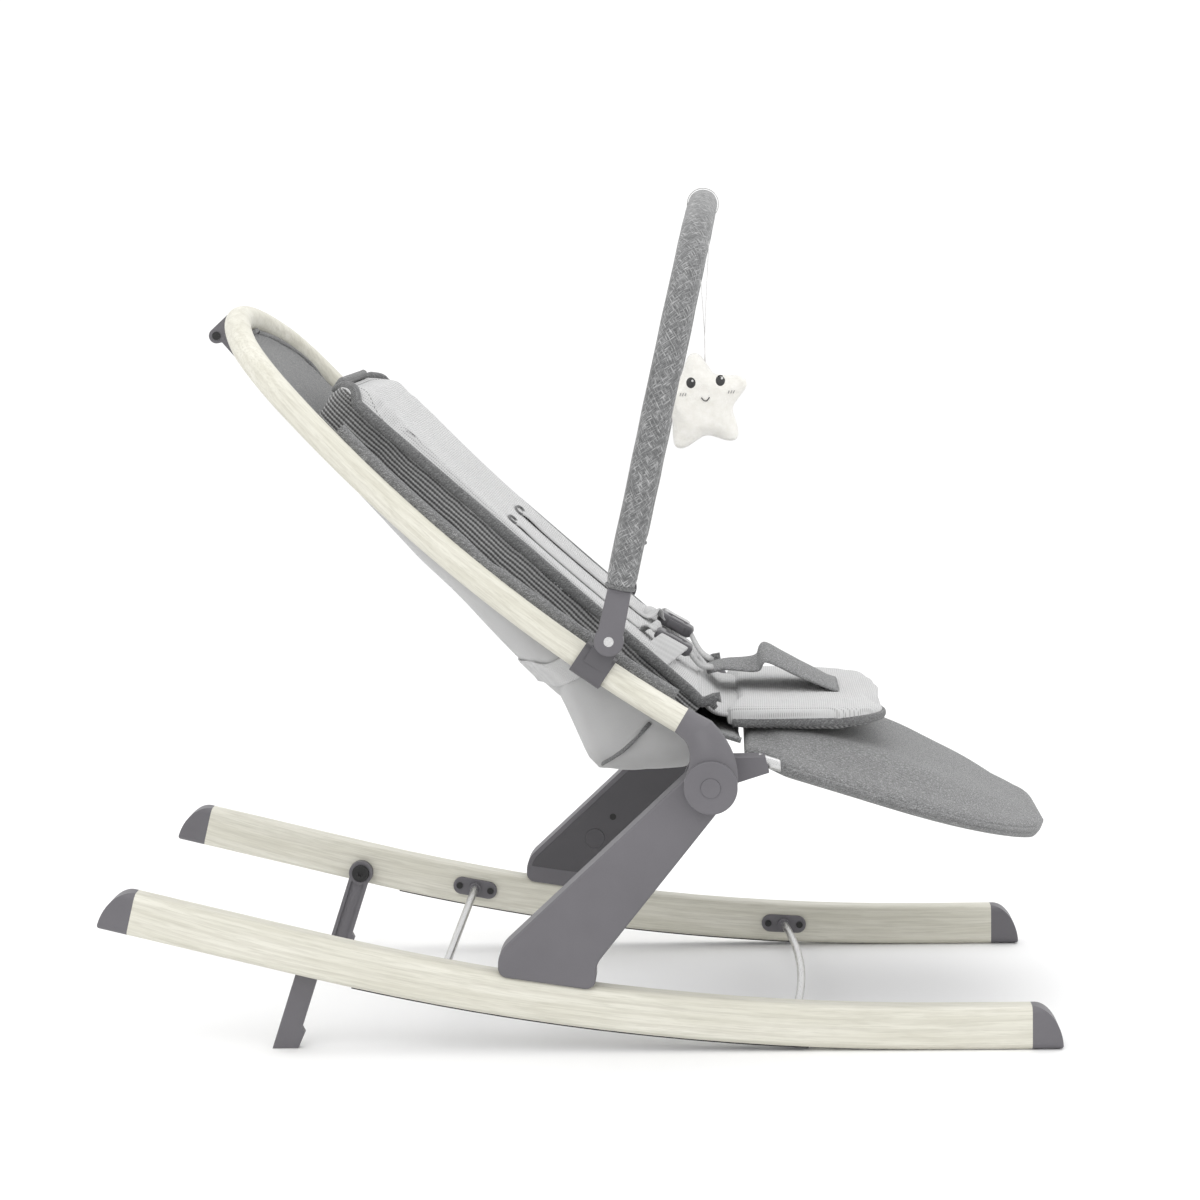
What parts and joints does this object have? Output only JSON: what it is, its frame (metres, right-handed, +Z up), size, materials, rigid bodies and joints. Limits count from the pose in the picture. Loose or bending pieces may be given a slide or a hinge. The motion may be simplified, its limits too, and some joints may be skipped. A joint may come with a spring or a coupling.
{
  "type": "baby bouncer seat",
  "caption": "Baby bouncer seat on rockers: reclining fabric seat in a tube loop, padded insert with harness, leg rest, fold-down kickstands and a swinging toy bar with a plush star.",
  "frame": {"origin": "on the floor, in the middle of the object's length and width", "axes": "+X towards the foot end, +Y towards the occupant's left, +Z up"},
  "size_m": [0.781, 0.4376, 0.6971],
  "materials": {
    "wood_grain_tube": "wood-grain film, satin",
    "dark_plastic": "fine matte",
    "inner_plastic": "fine matte",
    "steel": "satin",
    "black_screws": "black oxide",
    "grip_rubber": "matte",
    "grey_melange": "woven melange",
    "pale_cloth": "smooth woven",
    "pale_mesh": "air mesh",
    "pale_webbing": "webbing",
    "plush_white": "plush"
  },
  "bodies": {
    "base": {"rocker_left": "wood_grain_tube", "rocker_right": "wood_grain_tube", "rocker_front_cap_left": "dark_plastic", "rocker_front_cap_right": "dark_plastic", "rocker_rear_cap_left": "dark_plastic", "rocker_rear_cap_right": "dark_plastic", "grip_strip_left": "grip_rubber", "grip_strip_right": "grip_rubber", "rear_cross_rod": "steel", "front_cross_rod": "steel", "rod_plates": "dark_plastic", "rod_plate_screws": "black_screws", "kickstand_bolts": "black_screws", "leg_shell_left": "dark_plastic", "leg_shell_right": "dark_plastic", "leg_inner_cover_left": "inner_plastic", "leg_inner_cover_right": "inner_plastic", "leg_plugs": "inner_plastic", "leg_cover_screws": "black_screws", "leg_fixing_screws": "steel"},
    "kickstand_left_body": {"kickstand_left": "dark_plastic"},
    "kickstand_right_body": {"kickstand_right": "dark_plastic"},
    "seat": {"pivot_shaft_left": "steel", "pivot_shaft_right": "steel", "hip_elbow_left": "dark_plastic", "hip_elbow_right": "dark_plastic", "hub_cap_left": "dark_plastic", "hub_cap_right": "dark_plastic", "release_spring_left": "steel", "release_spring_right": "steel", "leg_rest_arm_left": "dark_plastic", "leg_rest_arm_right": "dark_plastic", "leg_rest_tube": "steel", "seat_loop_tube": "wood_grain_tube", "head_bracket": "dark_plastic", "head_bracket_pin": "steel", "toy_bar_clamp_left": "dark_plastic", "toy_bar_clamp_right": "dark_plastic", "toy_bar_screws": "black_screws", "seat_cover": "grey_melange", "back_sling": "pale_cloth", "leg_rest_cover": "grey_melange", "insert_back_pad": "pale_mesh", "insert_seat_pad": "pale_mesh", "crotch_flap": "grey_melange", "shoulder_strap_left": "pale_webbing", "shoulder_strap_right": "pale_webbing", "waist_strap_left": "pale_webbing", "waist_strap_right": "pale_webbing", "harness_buckle_left": "inner_plastic", "harness_buckle_right": "inner_plastic"},
    "button_left_body": {"release_button_left": "dark_plastic"},
    "button_right_body": {"release_button_right": "dark_plastic"},
    "toy_bar": {"arm_fitting_left": "dark_plastic", "arm_fitting_right": "dark_plastic", "toy_bar_rod": "steel", "toy_bar_sleeve": "grey_melange"},
    "toy": {"toy_ribbon": "plush_white", "star_toy": "plush_white"}
  },
  "joints": [
    {"name": "kickstand_left_fold", "type": "hinge", "parent": "base", "child": "kickstand_left_body", "pos_m": [-0.2195, 0.174, 0.0742], "axis": [0, 1, 0], "range_deg": [0, 80]},
    {"name": "kickstand_right_fold", "type": "hinge", "parent": "base", "child": "kickstand_right_body", "pos_m": [-0.2195, -0.174, 0.0742], "axis": [0, 1, 0], "range_deg": [0, 80]},
    {"name": "seat_recline", "type": "hinge", "parent": "base", "child": "seat", "pos_m": [0.1088, 0, 0.2194], "axis": [0, -1, 0], "range_deg": [0, 50]},
    {"name": "release_button_left_push", "type": "slide", "parent": "seat", "child": "button_left_body", "axis": [0, -1, 0], "range_m": [0, 0.002], "stiffness_N_per_m": 800, "springref_m": -0.001, "deforming": ["release_spring_left"]},
    {"name": "release_button_right_push", "type": "slide", "parent": "seat", "child": "button_right_body", "axis": [0, 1, 0], "range_m": [0, 0.002], "stiffness_N_per_m": 800, "springref_m": -0.001, "deforming": ["release_spring_right"]},
    {"name": "toy_bar_swing", "type": "hinge", "parent": "seat", "child": "toy_bar", "pos_m": [0.029, 0, 0.3358], "axis": [0, 1, 0], "range_deg": [-35, 45]},
    {"name": "toy_swing", "type": "hinge", "parent": "toy_bar", "child": "toy", "pos_m": [0.108, 0, 0.6835], "axis": [0, 1, 0], "range_deg": [-70, 70]}
  ]
}
